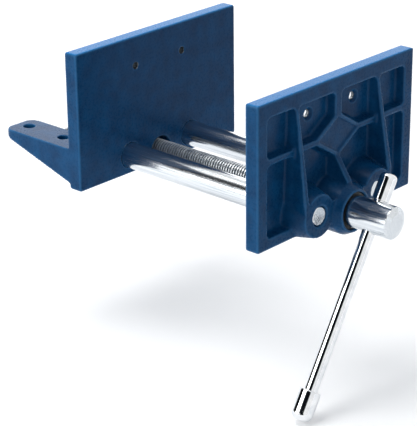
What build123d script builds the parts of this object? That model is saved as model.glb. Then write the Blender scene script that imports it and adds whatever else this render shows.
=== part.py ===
# Woodworking vise: a fixed jaw that bolts under a bench, and a moving jaw on two bars and a screw.
#
# X runs along the jaws, +Y points under the bench and +Z up. The origin lies on the fixed jaw's
# working face, level with the tops of the two bench arms. The jaws stand open as stored.
import os
from math import cos, radians, sin

from build123d import *

os.makedirs("parts", exist_ok=True)

# Jaws
JAW_WIDTH = 175.0
JAW_ABOVE_ARMS = 76.0
JAW_BELOW_ARMS = 32.0
REST_OPENING = 164.0
MAX_OPENING = 180.0
FIXED_PLATE = 12.5
CORNER_ROUND = 1.2
EDGE_ROUND = 0.6
BACK_ROUND = 1.6
CHEEK_HOLE_R = 2.75
CHEEK_HOLE_SPAN = 51.0
CHEEK_HOLE_UP = 53.0

# Guide bars and screw
BAR_R = 10.0
BAR_SPAN = 67.0
BAR_DROP = 17.2
BAR_CHAMFER = 0.8
SCREW_R = 8.0
SCREW_DROP = 22.0
THREAD_LEAD = 5.0
THREAD_STARTS = 2
THREAD_DEPTH = 1.25
CREST_SHARE = 0.37
FLANK_SHARE = 0.15
SCREW_PILOT = 4.0
PILOT_CHAMFER = 1.2

# Clearances, and the overrun of a cut past its face
RUNNING = 0.08
PRESSED = 0.02
GAP = 0.3
BOLT_PLAY = 0.3
THREAD_PLAY = 0.15
OVERRUN = 1.0

# Bench arms
ARM_WIDTH = 29.0
ARM_REACH = 84.0
ARM_FLANGE = 6.5
ARM_WEB = 6.5
ARM_END_WALL = 6.0
ARM_ROOT_DEPTH = 27.5
ARM_TIP_DEPTH = 6.0
ARM_TIP_ROUND = 5.0
ARM_CORNER_ROUND = 7.0
BENCH_HOLE_R = 4.5
BENCH_HOLE_FROM_TIP = 11.6
BENCH_HOLE_STEP = 38.4
BENCH_HOLE_FROM_SIDE = 15.5

# Guide block behind the fixed jaw, and the nut that it holds
GUIDE_BOSS_R = 16.5
GUIDE_LENGTH = 36.0
SCREW_HOLE_R = 11.0
SCREW_HOLE_WALL = 5.0
NUT_BLOCK_WIDTH = 66.0
NUT_BLOCK_HEIGHT = 29.0
NUT_R = 12.0
NUT_FLANGE = 4.6
NUT_THREAD_LENGTH = 10.0
NUT_EAR_R = 6.0
NUT_WAIST_R = 14.5
NUT_SCREW_SPAN = 34.0
NUT_SCREW_R = 2.5
NUT_SCREW_HEAD_R = 4.8
NUT_SCREW_LENGTH = 16.0
NUT_SCREW_SLOT = 1.4
NUT_SCREW_SLOT_DEPTH = 1.2

# Front casting
RIM_PLANE = 11.8
BOSS_RISE = 11.2
POCKET_DEPTH = 7.2
RIM_WIDTH = 10.0
RIM_TOP = 11.0
RIM_BOTTOM = 8.0
POCKET_CORNER = 4.0
FLOOR_ROUND = 1.2
DRAFT_DEGREES = 16.0
GUSSET_TOP_SPAN = 91.2
GUSSET_TOP_THICK = 2.8
GUSSET_FOOT_SPAN = 95.2
GUSSET_FOOT_THICK = 4.8
GUSSET_FOOT_DROP = 4.0
CROSS_RIB_UP = 32.5
CROSS_RIB_THICK = 4.0
CENTRE_RIB_THICK = 7.0
SLOPED_RIB_THICK = 5.0
SLOPED_RIB_DROP = 0.5
DIAMOND_HALF_WIDTH = 27.0
DIAMOND_HALF_HEIGHT = 16.6
DIAMOND_BORDER = 2.6
DIAMOND_SINK = 1.5
BAR_BOSS_R = 16.0
CENTRE_BOSS_R = 19.0
CENTRE_RISE = 6.0
CENTRE_SLOPE_DEGREES = 28.0
NECK_HEIGHT = 17.0
NECK_DROP = 18.0
RECESS_R = 14.3
RECESS_DEPTH = 4.0
BAR_END_SINK = 0.8
BAR_SEAT = 6.0
BAR_SPIGOT_R = 7.8
BAR_SPIGOT_CHAMFER = 1.4
BAR_PIN_R = 2.0
BAR_PIN_BITE = 4.0

# Hub, washer and collar on the screw
HUB_R = 12.0
HUB_REACH = 36.0
HUB_FACE_R = 7.2
HUB_CONE = 1.8
HUB_END_WALL = 3.5
HUB_ROUND = 0.6
HUB_PIN_R = 2.0
HUB_PIN_FROM_JAW = 32.0
PIN_SINK = 0.3
WASHER_R = 13.6
WASHER_THICK = 2.2
COLLAR_R = 10.4
COLLAR_LENGTH = 7.0
COLLAR_SINK = 0.5
COLLAR_CHAMFER = 0.6
COLLAR_PIN_R = 1.75

# Tie plate that joins the bars' rear ends
TIE_PLATE_THICK = 4.5
TIE_PLATE_R = 12.5
TIE_PLATE_GAP = 1.0
TIE_HOLE_PLAY = 1.0
TIE_SCREW_R = 4.0
TIE_HEAD_HALF_FLATS = 6.5
TIE_HEAD = 5.3
TIE_SCREW_LENGTH = 20.0
TIE_WASHER_R = 6.6
TIE_WASHER_THICK = 1.8
TIE_WASHER_SLIT = 1.2

# Handle
HANDLE_R = 5.0
HANDLE_FROM_JAW = 45.4
HANDLE_TILT_DEGREES = 31.8
HANDLE_BELOW = 130.8
HANDLE_PLAY = 0.35
SPIGOT_R = 3.5
SPIGOT_LENGTH = 12.0
KNOB_R = 8.0
KNOB_LENGTH = 23.0
KNOB_ROUND = 6.0
KNOB_CHAMFER = 1.0
CAP_R = 6.4
CAP_LENGTH = 20.4
CAP_ROUND = 3.4
CAP_CHAMFER = 0.4

# Places worked out from the sizes above
HALF_WIDTH = JAW_WIDTH / 2
JAW_HEIGHT = JAW_ABOVE_ARMS + JAW_BELOW_ARMS
JAW_MIDDLE = (JAW_ABOVE_ARMS - JAW_BELOW_ARMS) / 2
BAR_PLACES = [(-BAR_SPAN / 2, -BAR_DROP), (BAR_SPAN / 2, -BAR_DROP)]
SCREW_PLACE = [(0, -SCREW_DROP)]
CHEEK_PLACES = [(-CHEEK_HOLE_SPAN / 2, CHEEK_HOLE_UP), (CHEEK_HOLE_SPAN / 2, CHEEK_HOLE_UP)]
NUT_SCREW_PLACES = [(-NUT_SCREW_SPAN / 2, -SCREW_DROP), (NUT_SCREW_SPAN / 2, -SCREW_DROP)]
ROOT_R = SCREW_R - THREAD_DEPTH
FACE_Y = -REST_OPENING
RIM_Y = FACE_Y - RIM_PLANE
BOSS_Y = RIM_Y - BOSS_RISE
FLOOR_Y = RIM_Y + POCKET_DEPTH
CENTRE_Y = BOSS_Y - CENTRE_RISE
RECESS_Y = CENTRE_Y + RECESS_DEPTH
SEAT_Y = FACE_Y - BAR_SEAT
WASHER_Y = RECESS_Y - GAP
HUB_BACK_Y = WASHER_Y - WASHER_THICK
HUB_END_Y = CENTRE_Y - HUB_REACH
SHANK_END_Y = HUB_END_Y + HUB_END_WALL
HANDLE_Y = FACE_Y - HANDLE_FROM_JAW
COLLAR_END_Y = FACE_Y - COLLAR_SINK
COLLAR_Y = COLLAR_END_Y - COLLAR_LENGTH
NUT_Y = FIXED_PLATE
NUT_END_Y = GUIDE_LENGTH + NUT_FLANGE
TIE_Y = NUT_END_Y + TIE_PLATE_GAP + MAX_OPENING - REST_OPENING
TIE_END_Y = TIE_Y + TIE_PLATE_THICK
TIE_HEAD_Y = TIE_END_Y + TIE_WASHER_THICK
SCREW_END_Y = TIE_END_Y + SCREW_PILOT
SCREW_AXIS = Axis((0, 0, -SCREW_DROP), (0, 1, 0))


def facing_front(y):
    """Plane across the screw at y, facing the user. Its sketch axes are X and Z."""
    return Plane.XZ.offset(-y)


def facing_bench(y):
    """Plane across the screw at y, facing the bench. Its sketch axes are -X and Z."""
    return Plane(origin=(0, y, 0), x_dir=(-1, 0, 0), z_dir=(0, 1, 0))


def rods(y_from, y_to, radius, places, mode=Mode.ADD):
    """Round bars or holes along Y between two places, in the part being built."""
    with BuildSketch(facing_front(y_to)) as section:
        with Locations(*places):
            Circle(radius)
    extrude(section.sketch, amount=y_to - y_from, mode=mode)


def cross_hole(y, radius, toward, reach, mode=Mode.SUBTRACT):
    """Round hole or pin through the screw's axis at y, reaching as far both ways."""
    with BuildSketch(Plane(origin=(0, y, -SCREW_DROP), z_dir=toward)) as section:
        Circle(radius)
    extrude(section.sketch, amount=reach, both=True, mode=mode)


def save(piece, name):
    piece.part.label = name
    export_step(piece.part, f"parts/{name}.step")


# Thread
#
# The section across the axis has, for each start, one high, one low and two sloping stretches, and it
# turns as it goes along. Its turn is counted from one place, so that screw and nut stay in step. One
# turn's faces are repeated along the axis and closed by a shorter or longer last turn.
def thread_body(y_from, y_to, crest_r, root_r, wider_degrees):
    start_degrees = 360 / THREAD_STARTS
    crest_degrees = CREST_SHARE * start_degrees + wider_degrees
    flank_degrees = FLANK_SHARE * start_degrees

    def stretch(first_r, second_r, from_degrees, to_degrees):
        middle = (from_degrees + to_degrees) / 2
        places = ((first_r, from_degrees), ((first_r + second_r) / 2, middle), (second_r, to_degrees))
        ThreePointArc(*[(r * cos(radians(turn)), r * sin(radians(turn))) for r, turn in places])

    with BuildLine() as outline:
        for start in range(THREAD_STARTS):
            crest_from = start * start_degrees
            crest_to = crest_from + crest_degrees
            root_from = crest_to + flank_degrees
            root_to = crest_from + start_degrees - flank_degrees
            stretch(crest_r, crest_r, crest_from, crest_to)
            stretch(crest_r, root_r, crest_to, root_from)
            stretch(root_r, root_r, root_from, root_to)
            stretch(root_r, crest_r, root_to, crest_from + start_degrees)
    section = Wire(outline.line.edges())

    def twisted(length):
        turned_by = 360 * length / THREAD_LEAD
        return Solid.extrude_linear_with_rotation(section, (0, 0, 0), (0, 0, length), turned_by)

    turns = int((y_to - y_from) / THREAD_LEAD - 1 / 2)
    first = twisted(THREAD_LEAD)
    last = twisted(y_to - y_from - turns * THREAD_LEAD).moved(Location((0, 0, turns * THREAD_LEAD)))
    faces = [
        first.faces().filter_by(GeomType.PLANE).sort_by(Axis.Z)[0],
        last.faces().filter_by(GeomType.PLANE).sort_by(Axis.Z)[-1],
    ]
    faces += last.faces().filter_by(GeomType.PLANE, reverse=True)
    for turn in range(turns):
        along = Location((0, 0, turn * THREAD_LEAD))
        faces += [face.moved(along) for face in first.faces().filter_by(GeomType.PLANE, reverse=True)]
    seat = Plane(origin=(0, y_from, -SCREW_DROP), x_dir=(1, 0, 0), z_dir=(0, 1, 0))
    phase = 360 * (y_from - COLLAR_END_Y) / THREAD_LEAD - wider_degrees / 2
    return Solid(Shell(faces)).moved(seat.location * Location((0, 0, 0), (0, 0, 1), phase))


# Bench arm: a flange with a web along the jaw's end and a closed tip
with BuildPart() as arm:
    with BuildSketch(Plane.XY):
        with Locations((HALF_WIDTH - ARM_WIDTH / 2, ARM_REACH / 2)):
            plan = Rectangle(ARM_WIDTH, ARM_REACH)
        fillet(plan.vertices().group_by(Axis.Y)[-1], ARM_CORNER_ROUND)
    extrude(amount=-ARM_ROOT_DEPTH)
    with BuildSketch(Plane.YZ.offset(HALF_WIDTH - ARM_WIDTH)):
        with BuildLine():
            Polyline(
                (EDGE_ROUND, 0),
                (ARM_REACH, 0),
                (ARM_REACH, -ARM_TIP_DEPTH),
                (FIXED_PLATE, -ARM_ROOT_DEPTH),
                (EDGE_ROUND, -ARM_ROOT_DEPTH),
                close=True,
            )
        side = make_face()
        fillet(side.vertices().sort_by(Axis.X)[-2:].sort_by(Axis.Y)[0], ARM_TIP_ROUND)
    extrude(amount=ARM_WIDTH, mode=Mode.INTERSECT)
    with BuildSketch(Plane.XY.offset(-ARM_FLANGE)):
        with Locations((HALF_WIDTH - ARM_WEB - ARM_WIDTH / 2, (FIXED_PLATE + ARM_REACH - ARM_END_WALL) / 2)):
            Rectangle(ARM_WIDTH, ARM_REACH - ARM_END_WALL - FIXED_PLATE)
    extrude(amount=-ARM_ROOT_DEPTH, mode=Mode.SUBTRACT)

# Fixed jaw: plate, guide block and the two arms in one casting
with BuildPart() as rear_jaw:
    with BuildSketch(facing_front(0)):
        with Locations((0, JAW_MIDDLE)):
            RectangleRounded(JAW_WIDTH, JAW_HEIGHT, CORNER_ROUND)
        with Locations(*SCREW_PLACE):
            Circle(SCREW_HOLE_R + SCREW_HOLE_WALL)
    extrude(amount=-FIXED_PLATE)
    fillet(rear_jaw.edges().filter_by_position(Axis.Y, 0, 0), EDGE_ROUND)
    fillet(rear_jaw.edges().filter_by_position(Axis.Y, FIXED_PLATE, FIXED_PLATE), BACK_ROUND)
    with BuildSketch(facing_front(GUIDE_LENGTH)):
        with Locations(*BAR_PLACES):
            Circle(GUIDE_BOSS_R)
        with Locations(*SCREW_PLACE):
            Rectangle(NUT_BLOCK_WIDTH, NUT_BLOCK_HEIGHT)
    extrude(amount=GUIDE_LENGTH - FIXED_PLATE + BACK_ROUND)
    add(arm.part)
    mirror(arm.part, about=Plane.YZ)
    rods(-OVERRUN, GUIDE_LENGTH + OVERRUN, BAR_R + RUNNING, BAR_PLACES, Mode.SUBTRACT)
    rods(-OVERRUN, FIXED_PLATE, SCREW_HOLE_R, SCREW_PLACE, Mode.SUBTRACT)
    rods(NUT_Y - GAP, GUIDE_LENGTH + OVERRUN, NUT_R + PRESSED, SCREW_PLACE, Mode.SUBTRACT)
    rods(
        NUT_END_Y - NUT_SCREW_LENGTH - OVERRUN,
        GUIDE_LENGTH + OVERRUN,
        NUT_SCREW_R + PRESSED,
        NUT_SCREW_PLACES,
        Mode.SUBTRACT,
    )
    rods(-OVERRUN, FIXED_PLATE + OVERRUN, CHEEK_HOLE_R, CHEEK_PLACES, Mode.SUBTRACT)
    with BuildSketch(Plane.XY):
        with Locations((0, ARM_REACH - BENCH_HOLE_FROM_TIP - BENCH_HOLE_STEP / 2)):
            with GridLocations(JAW_WIDTH - 2 * BENCH_HOLE_FROM_SIDE, BENCH_HOLE_STEP, 2, 2):
                Circle(BENCH_HOLE_R)
    extrude(amount=-ARM_ROOT_DEPTH, mode=Mode.SUBTRACT)
save(rear_jaw, "rear_jaw")

# Nut with a flange, let in from behind, its bore relieved in front of the thread
with BuildPart() as screw_nut:
    rods(NUT_Y, GUIDE_LENGTH, NUT_R, SCREW_PLACE)
    with BuildSketch(facing_front(NUT_END_Y)):
        with Locations(*SCREW_PLACE):
            Circle(NUT_WAIST_R)
        with Locations(*NUT_SCREW_PLACES):
            Circle(NUT_EAR_R)
        make_hull()
    extrude(amount=NUT_FLANGE)
    with Locations(facing_bench(NUT_END_Y)):
        with Locations(*NUT_SCREW_PLACES):
            CounterSinkHole(NUT_SCREW_R + BOLT_PLAY, NUT_SCREW_HEAD_R + BOLT_PLAY, counter_sink_angle=90)
    rods(NUT_Y - OVERRUN, NUT_END_Y - NUT_THREAD_LENGTH, SCREW_R + GAP, SCREW_PLACE, Mode.SUBTRACT)
    nut_thread = thread_body(
        NUT_END_Y - NUT_THREAD_LENGTH - OVERRUN,
        NUT_END_Y + OVERRUN,
        SCREW_R + THREAD_PLAY,
        ROOT_R + THREAD_PLAY,
        720 * THREAD_PLAY / THREAD_LEAD,
    )
    add(nut_thread, mode=Mode.SUBTRACT)
save(screw_nut, "screw_nut")

# Two slotted countersunk screws through the nut's ears
with BuildPart() as nut_screws:
    rods(NUT_END_Y - NUT_SCREW_LENGTH, NUT_END_Y, NUT_SCREW_R, NUT_SCREW_PLACES)
    with BuildSketch(facing_front(NUT_END_Y)):
        with Locations(*NUT_SCREW_PLACES):
            Circle(NUT_SCREW_HEAD_R)
    extrude(amount=NUT_SCREW_HEAD_R - NUT_SCREW_R, taper=45)
    with BuildSketch(facing_front(NUT_END_Y)):
        with Locations(*NUT_SCREW_PLACES):
            Rectangle(NUT_SCREW_SLOT, 2 * NUT_SCREW_HEAD_R)
    extrude(amount=NUT_SCREW_SLOT_DEPTH, mode=Mode.SUBTRACT)
save(nut_screws, "nut_screws")


# Pockets of the front casting, drafted like a moulded form
def pocket(corners):
    """Solid of one pocket, from the rim plane down to its rounded floor."""
    with BuildPart() as form:
        with BuildSketch(facing_bench(RIM_Y)):
            with BuildLine():
                Polyline(*corners, close=True)
            outline = make_face()
            fillet(outline.vertices(), POCKET_CORNER)
        extrude(amount=POCKET_DEPTH, taper=DRAFT_DEGREES)
        fillet(form.faces().sort_by(Axis.Y)[-1].edges(), FLOOR_ROUND)
    return form.part


def gusset_side(height, outward):
    """Inner (-1) or outer (1) side of the right gusset at a height. It leans and grows towards its foot."""
    share = (JAW_ABOVE_ARMS - RIM_TOP - height) / (JAW_ABOVE_ARMS - RIM_TOP + GUSSET_FOOT_DROP)
    middle = GUSSET_TOP_SPAN + (GUSSET_FOOT_SPAN - GUSSET_TOP_SPAN) * share
    thick = GUSSET_TOP_THICK + (GUSSET_FOOT_THICK - GUSSET_TOP_THICK) * share
    return (middle + outward * thick) / 2


def diamond_half_width(height_from_middle):
    """Half width of the diamond panel at a height above or below its middle."""
    return DIAMOND_HALF_WIDTH * (1 - abs(height_from_middle) / DIAMOND_HALF_HEIGHT)


def diamond_half_height(off_centre):
    """Half height of the diamond panel at a distance from its upright centre line."""
    return DIAMOND_HALF_HEIGHT * (1 - off_centre / DIAMOND_HALF_WIDTH)


rib_low = CROSS_RIB_UP - CROSS_RIB_THICK / 2
rib_high = CROSS_RIB_UP + CROSS_RIB_THICK / 2
rim_side = HALF_WIDTH - RIM_WIDTH
rim_high = JAW_ABOVE_ARMS - RIM_TOP
rim_low = RIM_BOTTOM - JAW_BELOW_ARMS
centre_rib = CENTRE_RIB_THICK / 2
sloped_rib = SLOPED_RIB_THICK / 2
diamond_side = diamond_half_width(CROSS_RIB_THICK / 2)
pocket_forms = [
    pocket([
        (gusset_side(rib_high, 1), rib_high),
        (rim_side, rib_high),
        (rim_side, rim_high),
        (gusset_side(rim_high, 1), rim_high),
    ]),
    pocket([
        (gusset_side(-BAR_DROP, 1), rim_low),
        (rim_side, rim_low),
        (rim_side, rib_low),
        (gusset_side(rib_low, 1), rib_low),
        (gusset_side(-BAR_DROP, 1), -BAR_DROP),
    ]),
    pocket([
        (centre_rib, rim_high),
        (gusset_side(rim_high, -1), rim_high),
        (gusset_side(rib_high, -1), rib_high),
        (diamond_side, rib_high),
        (centre_rib, CROSS_RIB_UP + diamond_half_height(centre_rib)),
    ]),
    pocket([
        (sloped_rib, -BAR_DROP),
        (gusset_side(-BAR_DROP, -1), -BAR_DROP),
        (gusset_side(rib_low, -1), rib_low),
        (diamond_side, rib_low),
        (sloped_rib, CROSS_RIB_UP - diamond_half_height(sloped_rib)),
    ]),
]

# Flared foot of the bosses, which fades out at the jaw's lower edge
with BuildPart() as boss_foot:
    for radius, places in ((BAR_BOSS_R, BAR_PLACES), (CENTRE_BOSS_R, SCREW_PLACE)):
        for place in places:
            with BuildSketch(facing_bench(BOSS_Y)):
                with Locations(place):
                    Circle(radius)
            extrude(amount=BOSS_RISE + POCKET_DEPTH, taper=-DRAFT_DEGREES)
    split(bisect_by=Plane.XY.offset(-JAW_BELOW_ARMS), keep=Keep.TOP)

# Places of the cross pins that hold the bars, driven into the front casting from below
pin_y = (BOSS_Y + FACE_Y) / 2
pin_bottom = -BAR_DROP - BAR_SPIGOT_R - BAR_PIN_BITE
pin_top = -BAR_DROP + BAR_SPIGOT_R + BAR_PIN_BITE


def upright_pins(radius, bottom, top, places, mode=Mode.ADD):
    """Upright pins, or holes for them, through the bars."""
    with BuildSketch(Plane.XY.offset(bottom)) as section:
        with Locations(*[(x, pin_y) for x, _ in places]):
            Circle(radius)
    extrude(section.sketch, amount=top - bottom, mode=mode)


# Right gusset. Its front rises from the rim to the boss, and it thickens on the way down.
gusset_foot = -GUSSET_FOOT_DROP
with BuildPart() as gusset:
    with BuildSketch(facing_front(FLOOR_Y + OVERRUN)):
        with BuildLine():
            Polyline(
                (gusset_side(rim_high, -1), rim_high),
                (gusset_side(rim_high, 1), rim_high),
                (gusset_side(gusset_foot, 1), gusset_foot),
                (BAR_SPAN / 2 + BAR_BOSS_R - EDGE_ROUND, -BAR_DROP),
                (BAR_SPAN / 2, -BAR_DROP),
                (gusset_side(gusset_foot, -1), gusset_foot),
                close=True,
            )
        make_face()
    extrude(amount=BOSS_RISE + POCKET_DEPTH + OVERRUN)
    with BuildSketch(Plane.YZ):
        with BuildLine():
            Polyline(
                (RIM_Y, rim_high),
                (BOSS_Y, gusset_foot),
                (BOSS_Y, -BAR_DROP),
                (FLOOR_Y + OVERRUN, -BAR_DROP),
                (FLOOR_Y + OVERRUN, rim_high),
                close=True,
            )
        make_face()
    extrude(amount=HALF_WIDTH, mode=Mode.INTERSECT)

# Front casting
with BuildPart() as front_jaw:
    with BuildSketch(facing_front(FACE_Y)):
        with Locations((0, JAW_MIDDLE)):
            RectangleRounded(JAW_WIDTH, JAW_HEIGHT, CORNER_ROUND)
    extrude(amount=RIM_PLANE)
    fillet(front_jaw.edges().filter_by_position(Axis.Y, RIM_Y, RIM_Y), EDGE_ROUND)
    fillet(front_jaw.edges().filter_by_position(Axis.Y, FACE_Y, FACE_Y), EDGE_ROUND)
    for form in pocket_forms:
        add(form, mode=Mode.SUBTRACT)
        mirror(form, about=Plane.YZ, mode=Mode.SUBTRACT)
    add(boss_foot.part)
    with BuildSketch(facing_front(FACE_Y)):
        with Locations(*BAR_PLACES):
            Circle(BAR_BOSS_R)
        with Locations(*SCREW_PLACE):
            Circle(CENTRE_BOSS_R)
        with Locations((0, -NECK_DROP)):
            Rectangle(BAR_SPAN, NECK_HEIGHT)
    extrude(amount=RIM_PLANE + BOSS_RISE)
    with BuildSketch(facing_front(BOSS_Y)):
        with Locations(*SCREW_PLACE):
            Circle(CENTRE_BOSS_R)
    extrude(amount=CENTRE_RISE, taper=CENTRE_SLOPE_DEGREES)
    add(gusset.part)
    mirror(gusset.part, about=Plane.YZ)
    # The short rib under the diamond
    with BuildSketch(Plane.YZ):
        with BuildLine():
            Polyline(
                (RIM_Y, CROSS_RIB_UP - DIAMOND_HALF_HEIGHT),
                (BOSS_Y, -SLOPED_RIB_DROP),
                (BOSS_Y, -BAR_DROP),
                (FLOOR_Y + OVERRUN, -BAR_DROP),
                (FLOOR_Y + OVERRUN, CROSS_RIB_UP - DIAMOND_HALF_HEIGHT),
                close=True,
            )
        make_face()
    extrude(amount=sloped_rib, both=True)
    # The diamond panel's field lies a little lower than its border
    with BuildSketch(facing_bench(RIM_Y)):
        with BuildLine():
            Polyline(
                (DIAMOND_HALF_WIDTH, CROSS_RIB_UP),
                (0, CROSS_RIB_UP + DIAMOND_HALF_HEIGHT),
                (-DIAMOND_HALF_WIDTH, CROSS_RIB_UP),
                (0, CROSS_RIB_UP - DIAMOND_HALF_HEIGHT),
                close=True,
            )
        make_face()
        offset(amount=-DIAMOND_BORDER)
    extrude(amount=DIAMOND_SINK, taper=DRAFT_DEGREES, mode=Mode.SUBTRACT)
    rods(BOSS_Y - OVERRUN, SEAT_Y, BAR_SPIGOT_R + PRESSED, BAR_PLACES, Mode.SUBTRACT)
    rods(SEAT_Y, FACE_Y + OVERRUN, BAR_R + PRESSED, BAR_PLACES, Mode.SUBTRACT)
    rods(CENTRE_Y - OVERRUN, FACE_Y + OVERRUN, SCREW_R + RUNNING, SCREW_PLACE, Mode.SUBTRACT)
    rods(CENTRE_Y - OVERRUN, RECESS_Y, RECESS_R, SCREW_PLACE, Mode.SUBTRACT)
    rods(COLLAR_Y - GAP, FACE_Y + OVERRUN, COLLAR_R + GAP, SCREW_PLACE, Mode.SUBTRACT)
    rods(RIM_Y - OVERRUN, FACE_Y + OVERRUN, CHEEK_HOLE_R, CHEEK_PLACES, Mode.SUBTRACT)
    upright_pins(BAR_PIN_R + PRESSED, -JAW_BELOW_ARMS - OVERRUN, pin_top, BAR_PLACES, Mode.SUBTRACT)
save(front_jaw, "front_jaw")

# Cross pins that hold the bars in the front casting
with BuildPart() as left_bar_pin:
    upright_pins(BAR_PIN_R, pin_bottom, pin_top, BAR_PLACES[:1])
save(left_bar_pin, "left_bar_pin")

with BuildPart() as right_bar_pin:
    upright_pins(BAR_PIN_R, pin_bottom, pin_top, BAR_PLACES[1:])
save(right_bar_pin, "right_bar_pin")


def guide_bar(place):
    """Guide bar, turned down in front for its seat and pin, with a tapped hole in its rear end."""
    front_y = BOSS_Y + BAR_END_SINK
    with BuildPart() as bar:
        rods(front_y, SEAT_Y, BAR_SPIGOT_R, [place])
        rods(SEAT_Y, TIE_Y, BAR_R, [place])
        chamfer(bar.edges().filter_by_position(Axis.Y, front_y, front_y), BAR_SPIGOT_CHAMFER)
        chamfer(bar.edges().filter_by_position(Axis.Y, TIE_Y, TIE_Y), BAR_CHAMFER)
        upright_pins(BAR_PIN_R + PRESSED, pin_bottom, pin_top, [place], Mode.SUBTRACT)
        rods(TIE_Y - TIE_SCREW_LENGTH, TIE_Y + OVERRUN, TIE_SCREW_R + PRESSED, [place], Mode.SUBTRACT)
    return bar


left_guide_bar = guide_bar(BAR_PLACES[0])
right_guide_bar = guide_bar(BAR_PLACES[1])
save(left_guide_bar, "left_guide_bar")
save(right_guide_bar, "right_guide_bar")

# Tie plate across the bars' rear ends
with BuildPart() as tie_plate:
    with BuildSketch(facing_front(TIE_END_Y)):
        with Locations(*BAR_PLACES, *SCREW_PLACE):
            Circle(TIE_PLATE_R)
        make_hull()
        with Locations(*BAR_PLACES):
            Circle(TIE_SCREW_R + BOLT_PLAY, mode=Mode.SUBTRACT)
        with Locations(*SCREW_PLACE):
            Circle(SCREW_R + TIE_HOLE_PLAY, mode=Mode.SUBTRACT)
    extrude(amount=TIE_PLATE_THICK)
save(tie_plate, "tie_plate")

# Spring washers, slit at the top
with BuildPart() as tie_plate_washers:
    rods(TIE_END_Y, TIE_END_Y + TIE_WASHER_THICK, TIE_WASHER_R, BAR_PLACES)
    rods(TIE_END_Y - OVERRUN, TIE_HEAD_Y + OVERRUN, TIE_SCREW_R + BOLT_PLAY, BAR_PLACES, Mode.SUBTRACT)
    with BuildSketch(facing_front(TIE_HEAD_Y)):
        with Locations(*[(x, z + TIE_WASHER_R / 2) for x, z in BAR_PLACES]):
            Rectangle(TIE_WASHER_SLIT, TIE_WASHER_R)
    extrude(amount=TIE_WASHER_THICK, mode=Mode.SUBTRACT)
save(tie_plate_washers, "tie_plate_washers")

# Hexagon screws through the tie plate into the bars
with BuildPart() as tie_plate_screws:
    with BuildSketch(facing_front(TIE_HEAD_Y + TIE_HEAD)):
        with Locations(*BAR_PLACES):
            RegularPolygon(TIE_HEAD_HALF_FLATS, 6, major_radius=False)
    extrude(amount=TIE_HEAD)
    rods(TIE_HEAD_Y - TIE_SCREW_LENGTH, TIE_HEAD_Y, TIE_SCREW_R, BAR_PLACES)
save(tie_plate_screws, "tie_plate_screws")

# Main screw: plain shank in hub, washer, casting and collar, then the thread and a short pilot
tilt = radians(HANDLE_TILT_DEGREES)
handle_up = (sin(tilt), 0, cos(tilt))
hub_pin_y = FACE_Y - HUB_PIN_FROM_JAW
collar_pin_y = (COLLAR_Y + COLLAR_END_Y) / 2

with BuildPart() as main_screw:
    rods(SHANK_END_Y, COLLAR_END_Y, SCREW_R, SCREW_PLACE)
    rods(TIE_END_Y, SCREW_END_Y, ROOT_R, SCREW_PLACE)
    chamfer(main_screw.edges().filter_by_position(Axis.Y, SCREW_END_Y, SCREW_END_Y), PILOT_CHAMFER)
    cross_hole(HANDLE_Y, HANDLE_R + HANDLE_PLAY, handle_up, HUB_R)
    cross_hole(hub_pin_y, HUB_PIN_R + PRESSED, handle_up, HUB_R)
    cross_hole(collar_pin_y, COLLAR_PIN_R + PRESSED, (0, 0, 1), HUB_R)
    add(thread_body(COLLAR_END_Y, TIE_END_Y, SCREW_R, ROOT_R, 0))
save(main_screw, "main_screw")

# Hub with a shallow cone in front, pinned on the screw's shank
with BuildPart() as screw_hub:
    with BuildSketch(Plane.XY.offset(-SCREW_DROP)):
        with BuildLine():
            Polyline(
                (0, HUB_BACK_Y),
                (HUB_R, HUB_BACK_Y),
                (HUB_R, HUB_END_Y + HUB_CONE),
                (HUB_FACE_R, HUB_END_Y),
                (0, HUB_END_Y),
                close=True,
            )
        profile = make_face()
        fillet(profile.vertices().group_by(Axis.X)[-1], HUB_ROUND)
    revolve(axis=SCREW_AXIS)
    rods(SHANK_END_Y, HUB_BACK_Y + OVERRUN, SCREW_R + PRESSED, SCREW_PLACE, Mode.SUBTRACT)
    cross_hole(HANDLE_Y, HANDLE_R + HANDLE_PLAY, handle_up, HUB_R + OVERRUN)
    cross_hole(hub_pin_y, HUB_PIN_R + PRESSED, handle_up, HUB_R + OVERRUN)
save(screw_hub, "screw_hub")

with BuildPart() as hub_pin:
    cross_hole(hub_pin_y, HUB_PIN_R, handle_up, HUB_R - PIN_SINK, Mode.ADD)
save(hub_pin, "hub_pin")

# Washer that takes the clamping load between hub and casting
with BuildPart() as thrust_washer:
    rods(HUB_BACK_Y, WASHER_Y, WASHER_R, SCREW_PLACE)
    rods(HUB_BACK_Y - OVERRUN, WASHER_Y + OVERRUN, SCREW_R + RUNNING, SCREW_PLACE, Mode.SUBTRACT)
save(thrust_washer, "thrust_washer")

# Collar behind the front jaw, which pulls it back
with BuildPart() as retaining_collar:
    rods(COLLAR_Y, COLLAR_END_Y, COLLAR_R, SCREW_PLACE)
    chamfer(retaining_collar.edges(), COLLAR_CHAMFER)
    rods(COLLAR_Y - OVERRUN, COLLAR_END_Y + OVERRUN, SCREW_R + PRESSED, SCREW_PLACE, Mode.SUBTRACT)
    cross_hole(collar_pin_y, COLLAR_PIN_R + PRESSED, (0, 0, 1), COLLAR_R + OVERRUN)
save(retaining_collar, "retaining_collar")

with BuildPart() as collar_pin:
    cross_hole(collar_pin_y, COLLAR_PIN_R, (0, 0, 1), COLLAR_R - PIN_SINK, Mode.ADD)
save(collar_pin, "collar_pin")

# Handle, its pieces turned about one tilted axis
HANDLE_MIDDLE = (0, HANDLE_Y, -SCREW_DROP)
HANDLE_AXIS = Axis(HANDLE_MIDDLE, handle_up)
across_handle = Plane(origin=HANDLE_MIDDLE, x_dir=(cos(tilt), 0, -sin(tilt)), z_dir=(0, -1, 0))
cap_from = HUB_R + GAP
knob_from = -HANDLE_BELOW


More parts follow.
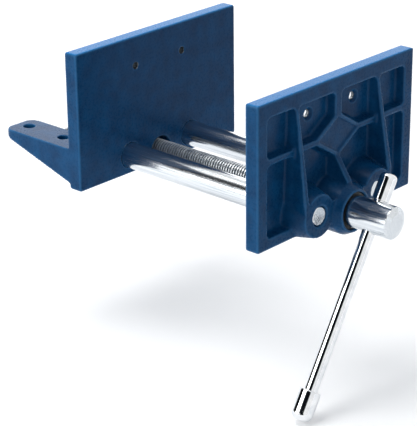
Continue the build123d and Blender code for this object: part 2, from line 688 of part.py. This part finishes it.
def turned(points, rounds):
    """Turned piece about the handle's axis, with some of its profile's corners rounded."""
    with BuildSketch(across_handle) as profile:
        with BuildLine():
            Polyline(*points, close=True)
        make_face()
        for corner, radius in rounds:
            fillet(profile.vertices().sort_by_distance(corner)[0], radius)
    revolve(profile.sketch, axis=HANDLE_AXIS)


with BuildPart() as handle_bar:
    turned(
        [
            (0, knob_from - SPIGOT_LENGTH),
            (SPIGOT_R, knob_from - SPIGOT_LENGTH),
            (SPIGOT_R, knob_from),
            (HANDLE_R, knob_from),
            (HANDLE_R, cap_from),
            (SPIGOT_R, cap_from),
            (SPIGOT_R, cap_from + SPIGOT_LENGTH),
            (0, cap_from + SPIGOT_LENGTH),
        ],
        [],
    )
save(handle_bar, "handle_bar")

# Knob below, with a rounded end, and the smaller cap that rests on the hub
with BuildPart() as handle_knob:
    turned(
        [
            (0, knob_from - SPIGOT_LENGTH),
            (SPIGOT_R + PRESSED, knob_from - SPIGOT_LENGTH),
            (SPIGOT_R + PRESSED, knob_from),
            (KNOB_R, knob_from),
            (KNOB_R, knob_from - KNOB_LENGTH),
            (0, knob_from - KNOB_LENGTH),
        ],
        [((KNOB_R, knob_from), KNOB_CHAMFER), ((KNOB_R, knob_from - KNOB_LENGTH), KNOB_ROUND)],
    )
save(handle_knob, "handle_knob")

with BuildPart() as handle_cap:
    turned(
        [
            (0, cap_from + SPIGOT_LENGTH),
            (SPIGOT_R + PRESSED, cap_from + SPIGOT_LENGTH),
            (SPIGOT_R + PRESSED, cap_from),
            (CAP_R, cap_from),
            (CAP_R, cap_from + CAP_LENGTH),
            (0, cap_from + CAP_LENGTH),
        ],
        [((CAP_R, cap_from), CAP_CHAMFER), ((CAP_R, cap_from + CAP_LENGTH), CAP_ROUND)],
    )
save(handle_cap, "handle_cap")
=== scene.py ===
# %% [markdown]
# # A woodworking vise in blue enamel and bright steel
#
# The measured model of the vise is already there: two iron castings, two guide bars, a long screw
# and a handle that slides in its hub. This script gives it the look of the real thing. Castings
# come out of sand moulds with soft edges and a slightly lumpy skin under thick enamel. Bars, hub and
# handle are turned, ground and plated. The screw is cut steel with a film of oil.

# %% Load the model
from math import cos, radians, sin

import bmesh
import bpy
from mathutils import Matrix, Vector


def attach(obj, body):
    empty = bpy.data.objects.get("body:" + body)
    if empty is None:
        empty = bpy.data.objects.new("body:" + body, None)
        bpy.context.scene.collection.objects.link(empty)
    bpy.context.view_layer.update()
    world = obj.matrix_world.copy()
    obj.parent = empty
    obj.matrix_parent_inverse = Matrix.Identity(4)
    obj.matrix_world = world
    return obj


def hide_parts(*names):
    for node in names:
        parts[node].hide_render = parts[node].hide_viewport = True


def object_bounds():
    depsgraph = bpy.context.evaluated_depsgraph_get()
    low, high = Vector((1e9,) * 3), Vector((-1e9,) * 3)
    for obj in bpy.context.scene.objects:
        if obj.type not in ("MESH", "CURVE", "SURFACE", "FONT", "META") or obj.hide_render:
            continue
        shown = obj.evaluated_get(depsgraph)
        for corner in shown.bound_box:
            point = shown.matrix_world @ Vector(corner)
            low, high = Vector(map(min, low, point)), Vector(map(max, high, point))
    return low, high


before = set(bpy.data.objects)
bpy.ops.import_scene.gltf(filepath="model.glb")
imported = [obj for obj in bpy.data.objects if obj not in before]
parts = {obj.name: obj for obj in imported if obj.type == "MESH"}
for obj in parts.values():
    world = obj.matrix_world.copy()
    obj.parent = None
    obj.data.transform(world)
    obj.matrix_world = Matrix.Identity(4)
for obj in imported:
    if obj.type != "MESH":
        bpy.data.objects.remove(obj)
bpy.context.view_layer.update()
scene = bpy.context.scene
MM = 0.001

# %% [markdown]
# ## Helpers for finishes
#
# Paint and plating are named by the hex colours that a paint chart uses, but the renderer adds up
# light, so each value is turned from the screen's curve to a linear one. Every shader node is made
# by one small function that sets its values and joins its inputs. A few shorter functions name the
# nodes that every finish needs, so a material reads as a list: noise of a size in millimetres, a
# ramp of colours, a range of values, and fine relief.


# %% Colours and nodes
def colour(code):
    """Linear colour with full cover, from a hex code as a paint chart gives it."""
    channels = [int(code[i : i + 2], 16) / 255 for i in (1, 3, 5)]
    return [c / 12.92 if c <= 0.04045 else ((c + 0.055) / 1.055) ** 2.4 for c in channels] + [1]


def node(tree, kind, inputs=(), stops=(), **settings):
    """Adds one shader node with its settings, input values or links, and colour stops."""
    made = tree.nodes.new("ShaderNode" + kind)
    for name, value in settings.items():
        setattr(made, name, value)
    for name, value in dict(inputs).items():
        if isinstance(value, bpy.types.NodeSocket):
            tree.links.new(value, made.inputs[name])
        else:
            made.inputs[name].default_value = value
    for number, (place, code) in enumerate(stops):
        ramp = made.color_ramp.elements
        stop = ramp[number] if number < 2 else ramp.new(place)
        stop.position, stop.color = place, colour(code)
    return made


def new_material(name):
    """Empty material, its nodes, and the place on the piece that patterns are drawn at."""
    material = bpy.data.materials.new(name)
    material.use_nodes = True
    tree = material.node_tree
    tree.nodes.clear()
    return material, tree, node(tree, "TexCoord").outputs["Object"]


# %% Patterns
def noise(tree, place, size, detail=2, roughness=0.5):
    """Cloudy noise with lumps of about one size, from 0 to 1."""
    values = {"Vector": place, "Scale": 1 / size, "Detail": detail, "Roughness": roughness}
    return node(tree, "TexNoise", values).outputs["Fac"]


def tones(tree, value, *stops):
    """Colours along a ramp."""
    return node(tree, "ValToRGB", {"Fac": value}, stops=stops).outputs["Color"]


def remap(tree, value, low, high, to_low=0, to_high=1):
    """Moves one range of values to another, and holds the ends."""
    ends = {"From Min": low, "From Max": high, "To Min": to_low, "To Max": to_high}
    return node(tree, "MapRange", {"Value": value, **ends}).outputs["Result"]


def compute(tree, operation, one, other):
    """Sum, product or the like of two values."""
    return node(tree, "Math", {0: one, 1: other}, operation=operation).outputs["Value"]


def blend(tree, share, one, other):
    """Mix of two colours."""
    return node(tree, "Mix", {0: share, 6: one, 7: other}, data_type="RGBA").outputs[2]


def relief(tree, height, deep, strength, **below):
    """Fine relief, given as the direction that the surface seems to face."""
    values = {"Height": height, "Distance": deep, "Strength": strength, **below}
    return node(tree, "Bump", values).outputs["Normal"]


def metal(tree, tint, gloss, metallic=1, **more):
    """Shader of bare or plated metal."""
    values = {"Base Color": tint, "Metallic": metallic, "Roughness": gloss, **more}
    return node(tree, "BsdfPrincipled", values).outputs["BSDF"]


def finish(tree, shader):
    """Ends a material with its shader."""
    node(tree, "OutputMaterial", {"Surface": shader})


print("linear mid grey:", round(colour("#808080")[0], 3))

# %% [markdown]
# ## Enamel on sand-cast iron
#
# The castings are sprayed with a deep blue enamel. The iron below is a little lumpy from the sand,
# and the paint levels out over it like orange peel, so the gloss breaks up softly. Two noises do
# that: lumps of about 11 mm and peel of about 2 mm. Outer edges get a painted highlight, a paler
# blue where light would catch them, and the enamel also wears thin there. How sharp the surface
# bends is stored on each point as "edge" when the castings are made, further down. The narrow top
# faces of both jaws get a painted sheen, a paler blue for the light that falls on them from above.
# The enamel is satin rather than glassy, so it mirrors less than a varnish would, and its level of
# mirroring is set low.

# %% Colour of the enamel
LUMP, PEEL = 11 * MM, 2 * MM
JAW_TOP = 76 * MM
# Paler blues painted on: a highlight along outer edges, where the enamel also wears thin, and a sheen on the
# jaws' top faces for the light from above.
EDGE_HIGHLIGHT_AND_WEAR, PAINTED_TOP_SHEEN = colour("#3f78a8"), colour("#0a6cab")
blue_enamel, tree, place = new_material("blue_enamel")
lumps = noise(tree, place, LUMP, 3)
peel = noise(tree, place, PEEL, 1.5, 0.4)
tone = tones(tree, lumps, (0.3, "#07375e"), (0.7, "#0b4874"))
edge = node(tree, "Attribute", attribute_name="edge").outputs["Fac"]
# Painted highlight: outer edges are mixed toward a paler blue by how far each point stands proud; the enamel
# there is also worn thin.
tone_with_edge_highlight = blend(tree, remap(tree, edge, 0.15, 0.85, 0, 0.4), tone, EDGE_HIGHLIGHT_AND_WEAR)
facing = node(tree, "SeparateXYZ", {"Vector": node(tree, "NewGeometry").outputs["Normal"]})
height = node(tree, "SeparateXYZ", {"Vector": place})
# Painted sheen: faces that look up near the top of the jaws are mixed toward a paler blue, as light from
# above would brighten them.
faces_up = remap(tree, facing.outputs["Z"], 0.6, 0.95)
at_top = remap(tree, height.outputs["Z"], JAW_TOP - 2 * MM, JAW_TOP - 1 * MM)
top_sheen_painted = blend(tree, compute(tree, "MULTIPLY", faces_up, at_top), tone_with_edge_highlight, PAINTED_TOP_SHEEN)
print("paled above", round((JAW_TOP - 2 * MM) / MM, 1), "mm")

# %% Gloss of the enamel
lumpy = relief(tree, lumps, 0.5 * MM, 0.3)
paint = node(
    tree,
    "BsdfPrincipled",
    {
        "Base Color": top_sheen_painted,
        "Roughness": remap(tree, peel, 0.3, 0.7, 0.24, 0.34),
        "Normal": relief(tree, peel, 0.06 * MM, 0.4, Normal=lumpy),
        "IOR": 1.5,
        "Specular IOR Level": 0.1,
    },
)
print("made", blue_enamel.name)

# %% [markdown]
# ## Drilled holes in the enamel
#
# The holes for the wooden cheeks' screws are drilled after painting, so their walls are bare
# iron, a little dull. Both castings have them at the same places, so the distance from a hole's
# axis, folded over the middle of the jaw, says where the paint ends.

# %% Bare drilled walls
CHEEK_SIDE, CHEEK_UP, CHEEK_R = 25.5 * MM, 53 * MM, 2.75 * MM
BARE_R, PAINTED_R = CHEEK_R + 0.1 * MM, CHEEK_R + 0.3 * MM
folded = node(tree, "VectorMath", {0: place}, operation="ABSOLUTE").outputs["Vector"]
shift = {"Vector": folded, "Location": (-CHEEK_SIDE, 0, -CHEEK_UP), "Scale": (1, 0, 1)}
across = node(tree, "Mapping", shift).outputs["Vector"]
from_hole = node(tree, "VectorMath", {0: across}, operation="LENGTH").outputs["Value"]
bare = remap(tree, from_hole, BARE_R, PAINTED_R, 1, 0)
drilled = metal(tree, colour("#7d8286"), 0.35)
skin = node(tree, "MixShader", {0: bare, 1: paint.outputs["BSDF"], 2: drilled})
finish(tree, skin.outputs["Shader"])
print("bare walls within", round(PAINTED_R / MM, 2), "mm of the drilled axes")

# %% [markdown]
# ## Ground bars
#
# The two guide bars are drawn and ground steel with a bright plate. Sliding in the fixed jaw draws
# fine scratches along them, so mirrored things run out into streaks. A noise that is stretched
# along the bar, 0.5 mm wide and 60 mm long, gives both the streaks and a slightly uneven gloss.
# The hub of the screw gets the same finish.

# %% Ground bar steel
STREAK, STREAK_LENGTH = 0.5 * MM, 60 * MM
bar_steel, tree, place = new_material("ground_bar_steel")
stretch = (1 / STREAK, 1 / STREAK_LENGTH, 1 / STREAK)
drawn = node(tree, "Mapping", {"Vector": place, "Scale": stretch}).outputs["Vector"]
streaks = noise(tree, drawn, 1, 3, 0.6)
tint = tones(tree, streaks, (0.3, "#b4bdc4"), (0.7, "#f1f3f5"))
gloss = remap(tree, streaks, 0.3, 0.7, 0.11, 0.24)
finish(tree, metal(tree, tint, gloss, Normal=relief(tree, streaks, 0.02 * MM, 0.6)))
print("made", bar_steel.name)

# %% [markdown]
# ## Bright plating
#
# The handle and its ends are turned steel with a nickel and chrome plate. Hands keep it polished,
# so it is smoother than the bars, with only faint clouds of wear about 7 mm wide. Metal shows what
# stands round it, so most of this finish comes from the studio.

# %% Chrome
WEAR, MARK = 7 * MM, 0.9 * MM
chrome, tree, place = new_material("chrome_plate")
scuffs = noise(tree, place, WEAR, 4, 0.6)
marks = noise(tree, place, MARK)
tint = tones(tree, scuffs, (0.35, "#dde0e3"), (0.65, "#f0f1f2"))
gloss = remap(tree, scuffs, 0.35, 0.7, 0.06, 0.13)
finish(tree, metal(tree, tint, gloss, Normal=relief(tree, marks, 0.01 * MM, 0.2)))
print("made", chrome.name)

# %% [markdown]
# ## Cut steel of the screw
#
# A trapezoidal thread is rolled in plain steel. Its crests are rubbed bright by the nut, and oil
# stays in the roots. The distance from the screw's axis tells crest from root, so the colour
# follows the thread exactly.

# %% Screw steel
SCREW_DROP = 22 * MM
SCREW_R, ROOT_R = 8 * MM, 6.75 * MM
OIL_SPOT = 5 * MM
screw_steel, tree, place = new_material("rolled_screw_steel")
shift = {"Vector": place, "Location": (0, 0, SCREW_DROP), "Scale": (1, 0, 1)}
across = node(tree, "Mapping", shift).outputs["Vector"]
from_axis = node(tree, "VectorMath", {0: across}, operation="LENGTH").outputs["Value"]
rubbed = remap(tree, from_axis, ROOT_R, SCREW_R - 0.05 * MM)
tint = tones(tree, rubbed, (0.0, "#75797c"), (0.6, "#c4c8cb"), (1.0, "#eceef0"))
oil = noise(tree, place, OIL_SPOT, 4)
gloss = remap(tree, oil, 0.3, 0.7, 0.26, 0.4)
finish(tree, metal(tree, tint, gloss, Normal=relief(tree, oil, 0.03 * MM, 0.3)))
print("made", screw_steel.name)

# %% [markdown]
# ## Zinc plate, oiled washer and bare iron
#
# Screws, washers, pins and the tie plate behind the jaw are cheap steel with a thin zinc plate:
# greyer than chrome, satin, with faint cloudy crystals. The washer under the hub lives in black
# grease. The nut is machined grey iron, left bare, with its dark graphite flakes.

# %% Zinc plate
CRYSTAL = 2.5 * MM
zinc_plate, tree, place = new_material("zinc_plate")
cells = {"Vector": place, "Scale": 1 / CRYSTAL}
clouds = node(tree, "TexVoronoi", cells, feature="SMOOTH_F1").outputs["Distance"]
tint = tones(tree, clouds, (0.1, "#9b9fa3"), (0.7, "#b9bcbe"))
finish(tree, metal(tree, tint, remap(tree, clouds, 0, 0.8, 0.28, 0.42)))
print("made", zinc_plate.name)

# %% Greased washer
SMEAR = 3 * MM
greased_steel, tree, place = new_material("greased_steel")
smears = noise(tree, place, SMEAR, 4)
finish(tree, metal(tree, tones(tree, smears, (0.35, "#17191a"), (0.65, "#3a3d3e")), 0.35))
print("made", greased_steel.name)

# %% Grey iron
FLAKE = 1.2 * MM
grey_iron, tree, place = new_material("machined_grey_iron")
flakes = noise(tree, place, FLAKE, 5, 0.65)
tint = tones(tree, flakes, (0.35, "#4a4b4c"), (0.65, "#77797a"))
finish(tree, metal(tree, tint, 0.45, 0.9, Normal=relief(tree, flakes, 0.05 * MM, 0.5)))
print("made", grey_iron.name)

# %% [markdown]
# ## Castings with soft edges
#
# A sharp corner can't be cast or painted: sand rounds it off and enamel flows over it. The measured
# casting is copied, its loose triangles are joined, and it is rebuilt from small even cells. A few
# rounds of smoothing then melt every edge and corner a little, and flats stay flat.


# %% Melt a casting's edges
def melted(source, cell, rounds):
    """Copy of a casting, remade from small cells with its edges rounded off."""
    shape = bmesh.new()
    shape.from_mesh(parts[source].data)
    bmesh.ops.remove_doubles(shape, verts=shape.verts, dist=0.001 * MM)
    mesh = bpy.data.meshes.new(source + "_cast")
    shape.to_mesh(mesh)
    shape.free()
    rough = bpy.data.objects.new(source + "_rough", mesh)
    scene.collection.objects.link(rough)
    cells = rough.modifiers.new("cells", "REMESH")
    cells.mode, cells.voxel_size = "VOXEL", cell
    soft = rough.modifiers.new("soft", "SMOOTH")
    soft.factor, soft.iterations = 0.5, rounds
    graph = bpy.context.evaluated_depsgraph_get()
    finished = bpy.data.meshes.new_from_object(rough.evaluated_get(graph))
    bpy.data.objects.remove(rough)
    return finished


print("faces before:", [len(parts[name].data.polygons) for name in ("front_jaw", "rear_jaw")])

# %% [markdown]
# ## Cones and painted edge highlights
#
# The cheek holes of the front casting open into shallow cones on the pockets' floors, where the
# heads of the screws sit. Points round each hole are pushed onto its cone. Then each point is set
# against the middle of its neighbours. It stands proud of them on an outer edge, which gives the
# "edge" that the enamel reads to paint a paler highlight there.

# %% Countersink and mark
POCKET_FLOOR, SINK_R = -168.6 * MM, 4.9 * MM
EDGE_GAIN = 10


def countersink(mesh):
    """Opens the cheek holes of the front casting into cones."""
    for vert in mesh.vertices:
        side = 1 if vert.co.x > 0 else -1
        out = Vector((vert.co.x - side * CHEEK_SIDE, 0, vert.co.z - CHEEK_UP))
        deep = vert.co.y - POCKET_FLOOR
        inside = SINK_R - out.length - deep
        if deep > -0.5 * MM and inside > 0:
            vert.co += (out.normalized() + Vector((0, 1, 0))) * inside / 2


def mark_edges(mesh, cell):
    """Stores on each point how far it stands out from its neighbours, in tenths of a cell."""
    shape = bmesh.new()
    shape.from_mesh(mesh)
    shape.normal_update()
    proud = []
    for vert in shape.verts:
        others = [line.other_vert(vert).co for line in vert.link_edges]
        middle = sum(others, Vector()) / len(others)
        proud.append((vert.co - middle).dot(vert.normal) / cell)
    spread = [
        (proud[vert.index] + sum(proud[line.other_vert(vert).index] for line in vert.link_edges))
        / (1 + len(vert.link_edges))
        for vert in shape.verts
    ]
    shape.free()
    values = mesh.attributes.new("edge", "FLOAT", "POINT")
    values.data.foreach_set("value", [EDGE_GAIN * value for value in spread])
    print("edge values up to", round(max(spread) * EDGE_GAIN, 2))


# %% Both castings
def cast_piece(source, body, cell, rounds):
    """Enamelled casting in place of the measured one."""
    mesh = melted(source, cell, rounds)
    if source == "front_jaw":
        countersink(mesh)
    mark_edges(mesh, cell)
    mesh.shade_smooth()
    piece = bpy.data.objects.new(source + "_cast", mesh)
    scene.collection.objects.link(piece)
    mesh.materials.clear()
    mesh.materials.append(blue_enamel)
    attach(piece, body)
    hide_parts(source)
    print(piece.name, "triangles:", sum(len(face.vertices) - 2 for face in mesh.polygons))


cast_piece("front_jaw", "moving_jaw", 0.82 * MM, 3)
cast_piece("rear_jaw", "fixed_jaw", 0.9 * MM, 3)

# %% [markdown]
# ## The long thread
#
# The thread has two grooves side by side, 5 mm per turn each, so its turns lie 2.5 mm apart. Its
# outline along the screw is drawn once over the whole length, and one full turn about the axis, 5 mm
# forward, sweeps it into a closed thread, because after a turn every groove meets the next but one.
# Two planes then cut the ends square. The plain shank in front, with its cross holes, and the short
# tip behind are kept from the measured screw.

# %% Thread profile
THREAD_FROM, THREAD_TO = -164.5 * MM, 62.1 * MM
LEAD, PITCH = 5 * MM, 2.5 * MM
FLANK, ROOT = 0.375 * MM, 0.825 * MM
CREST = PITCH - 2 * FLANK - ROOT
STEPS = 36
thread = bmesh.new()
y = THREAD_FROM - 3 * PITCH
line = []
while y < THREAD_TO + PITCH:
    for radius, step in ((SCREW_R, FLANK), (ROOT_R, ROOT), (ROOT_R, FLANK), (SCREW_R, CREST)):
        line.append(thread.verts.new((radius, y, -SCREW_DROP)))
        y += step
chain = [thread.edges.new(pair) for pair in zip(line, line[1:])]
print("points along the thread:", len(line))


# %% Thread sweep
def cut_open(shape, y, keep_low):
    """Cuts a shape square at y, keeps one side, and closes the cut."""
    bmesh.ops.bisect_plane(
        shape,
        geom=shape.verts[:] + shape.edges[:] + shape.faces[:],
        dist=0.001 * MM,
        plane_co=(0, y, 0),
        plane_no=(0, 1, 0),
        clear_outer=keep_low,
        clear_inner=not keep_low,
    )
    bmesh.ops.holes_fill(shape, edges=[line for line in shape.edges if line.is_boundary])


bmesh.ops.spin(
    thread,
    geom=line + chain,
    cent=(0, 0, -SCREW_DROP),
    axis=(0, 1, 0),
    dvec=(0, LEAD / STEPS, 0),
    angle=radians(360),
    steps=STEPS,
    use_merge=False,
    use_duplicate=False,
)
bmesh.ops.remove_doubles(thread, verts=thread.verts, dist=0.01 * MM)
cut_open(thread, THREAD_FROM, False)
cut_open(thread, THREAD_TO, True)
bmesh.ops.recalc_face_normals(thread, faces=thread.faces)
print("thread faces:", len(thread.faces))

# %% Shank and tip
whole = bpy.data.meshes.new("screw_turned")
for y, keep_low in ((THREAD_FROM, True), (THREAD_TO, False)):
    end = bmesh.new()
    end.from_mesh(parts["main_screw"].data)
    bmesh.ops.remove_doubles(end, verts=end.verts, dist=0.001 * MM)
    cut_open(end, y, keep_low)
    held = bpy.data.meshes.new("screw_end")
    end.to_mesh(held)
    end.free()
    thread.from_mesh(held)
    bpy.data.meshes.remove(held)
thread.to_mesh(whole)
thread.free()
whole.shade_smooth()
whole.set_sharp_from_angle(angle=radians(30))
whole.materials.clear()
whole.materials.append(screw_steel)
screw = bpy.data.objects.new("screw_turned", whole)
scene.collection.objects.link(screw)
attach(screw, "screw")
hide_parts("main_screw")
print("screw triangles:", sum(len(face.vertices) - 2 for face in whole.polygons))

# %% [markdown]
# ## Finishes on the turned pieces
#
# The measured shapes of bars, hub and handle are already true, so they only change their finish.
# The pins, screws and the plate behind the jaw are plated in one bath.

# %% Give each measured piece its finish
finishes = {
    bar_steel: ["left_guide_bar", "right_guide_bar", "screw_hub"],
    chrome: ["handle_bar", "handle_knob", "handle_cap"],
    screw_steel: ["retaining_collar"],
    greased_steel: ["thrust_washer"],
    zinc_plate: [
        "nut_screws",
        "left_bar_pin",
        "right_bar_pin",
        "tie_plate",
        "tie_plate_washers",
        "tie_plate_screws",
        "hub_pin",
        "collar_pin",
    ],
    grey_iron: ["screw_nut"],
}
for coat, names in finishes.items():
    for name in names:
        for place_of_coat in parts[name].material_slots:
            place_of_coat.material = coat
    print(coat.name, "on", ", ".join(names))

# %% [markdown]
# ## Floor
#
# The vise is shown on a plain white ground. The floor is lit like any pale thing and takes the
# vise's shadow. Where the eye or a mirror sees it, a little light of its own lifts it to white,
# and more of it far from the lamps, so that no grey edge shows behind the vise.


# %% Which rays arrive
def rays(tree):
    """Two masks: rays straight from the eye, and rays that came by way of something shiny."""
    seen = node(tree, "LightPath").outputs
    return seen["Is Camera Ray"], compute(tree, "MAXIMUM", seen["Is Glossy Ray"], seen["Is Transmission Ray"])


# %% Floor
HALF_FLOOR = 6
low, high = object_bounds()
shape = bmesh.new()
bmesh.ops.create_grid(shape, x_segments=8, y_segments=8, size=HALF_FLOOR)
bmesh.ops.translate(shape, verts=shape.verts, vec=(0, 0, low.z - 0.2 * MM))
mesh = bpy.data.meshes.new("floor")
shape.to_mesh(mesh)
shape.free()
floor = bpy.data.objects.new("floor", mesh)
scene.collection.objects.link(floor)
floor_paint, tree, place = new_material("pale_floor")
grain = node(tree, "TexNoise", {"Vector": place, "Scale": 3, "Detail": 2}).outputs["Fac"]
pale = tones(tree, grain, (0.3, "#f0f0f0"), (0.7, "#f4f4f4"))
matt = node(tree, "BsdfDiffuse", {"Color": pale})
looked_at = compute(tree, "MAXIMUM", *rays(tree))
far = node(tree, "VectorMath", {0: place}, operation="LENGTH").outputs["Value"]
lift = compute(tree, "MULTIPLY", looked_at, remap(tree, far, 0.5, 2.5, 0.2, 0.9))
glow = node(tree, "Emission", {"Color": colour("#ffffff"), "Strength": lift})
white_ground = node(tree, "AddShader", {0: matt.outputs["BSDF"], 1: glow.outputs["Emission"]})
finish(tree, white_ground.outputs["Shader"])
mesh.materials.append(floor_paint)
print("floor at", round((low.z - 0.2 * MM) / MM, 1), "mm")

# %% [markdown]
# ## Surroundings
#
# Soft light comes from all round. Polished metal would vanish in a studio that is all white, so
# what mirrors see holds one dark ring, as round the frame of a large screen to the left, and
# chrome gets its dark streaks. The ring is drawn by the angle between a direction and the screen's.

# %% World
SCREEN = Vector((-0.95, 0.3, 0.05)).normalized()
world = bpy.data.worlds.new("white_studio")
scene.world = world
world.use_nodes = True
tree = world.node_tree
tree.nodes.clear()
direction = node(tree, "TexCoord").outputs["Generated"]
toward = node(tree, "VectorMath", {0: direction, 1: SCREEN}, operation="DOT_PRODUCT").outputs["Value"]
ring_out = remap(tree, toward, 0.4, 0.48)
ring_in = remap(tree, toward, 0.85, 0.9, 1, 0)
ring = compute(tree, "MULTIPLY", ring_out, ring_in)
studio = tones(tree, ring, (0.0, "#ffffff"), (1.0, "#0c1014"))
backdrop = node(tree, "Background", {"Color": colour("#ffffff"), "Strength": 1}).outputs[0]
fill = node(tree, "Background", {"Color": colour("#eef3fa"), "Strength": 0.44}).outputs[0]
mirrored = node(tree, "Background", {"Color": studio, "Strength": 1}).outputs[0]
eye, shiny = rays(tree)
lit = node(tree, "MixShader", {0: shiny, 1: fill, 2: mirrored}).outputs["Shader"]
shown = node(tree, "MixShader", {0: eye, 1: lit, 2: backdrop}).outputs["Shader"]
node(tree, "OutputWorld", {"Surface": shown})
print("ring round", tuple(round(v, 2) for v in SCREEN))

# %% [markdown]
# ## Lamps
#
# A product like this is lit by large soft boxes: one above, which brightens the top faces, one on
# the left for the ends of the jaws, and a weak one behind on the right that parts the fixed jaw
# from the ground.

# %% Lamps
MIDDLE = Vector((0, -0.09, 0))


def soft_box(name, place, size, power):
    """Large soft lamp that looks at the middle of the vise, and isn't seen itself."""
    lamp = bpy.data.lights.new(name, "AREA")
    lamp.shape, lamp.size, lamp.energy = "SQUARE", size, power
    stand = bpy.data.objects.new(name, lamp)
    stand.location = place
    stand.rotation_euler = (MIDDLE - Vector(place)).to_track_quat("-Z", "Y").to_euler()
    stand.visible_camera = False
    scene.collection.objects.link(stand)


soft_box("overhead", (-0.2, 0.3, 1.5), 1.0, 18)
soft_box("left_side", (-1.5, 0.5, 0.6), 1.0, 14)
soft_box("right_behind", (1.6, 1.4, 0.8), 1.4, 7)

# %% [markdown]
# ## Camera
#
# The view is the catalogue's: from the left and in front of the vise, a little above it, with a long
# lens that keeps the jaws' edges almost parallel. Three angles say how the camera is turned, and its
# axes are worked out from them.

# %% Camera
LOOK_ROUND, LOOK_DOWN, LEAN = radians(-47.472), radians(22.688), radians(-0.626)
STAND = (-0.92818, -0.90106, 0.46394)
SENSOR = 36
FOCAL_SHARE = 1759.707 / 426
back = Vector((sin(LOOK_ROUND) * cos(LOOK_DOWN), -cos(LOOK_ROUND) * cos(LOOK_DOWN), sin(LOOK_DOWN)))
right = Vector((cos(LOOK_ROUND), sin(LOOK_ROUND), 0))
up = back.cross(right)
leaned_right = right * cos(LEAN) + up * sin(LEAN)
leaned_up = up * cos(LEAN) - right * sin(LEAN)
lens = bpy.data.cameras.new("camera")
lens.sensor_width = SENSOR
lens.lens = SENSOR * FOCAL_SHARE
lens.clip_start, lens.clip_end = 0.05, 50
camera = bpy.data.objects.new("camera", lens)
turn = Matrix((leaned_right, leaned_up, back)).transposed()
camera.matrix_world = Matrix.Translation(STAND) @ turn.to_4x4()
scene.collection.objects.link(camera)
scene.camera = camera
scene.view_settings.view_transform = "Standard"
print("camera at", tuple(round(v, 3) for v in camera.location), "lens", round(lens.lens, 1))
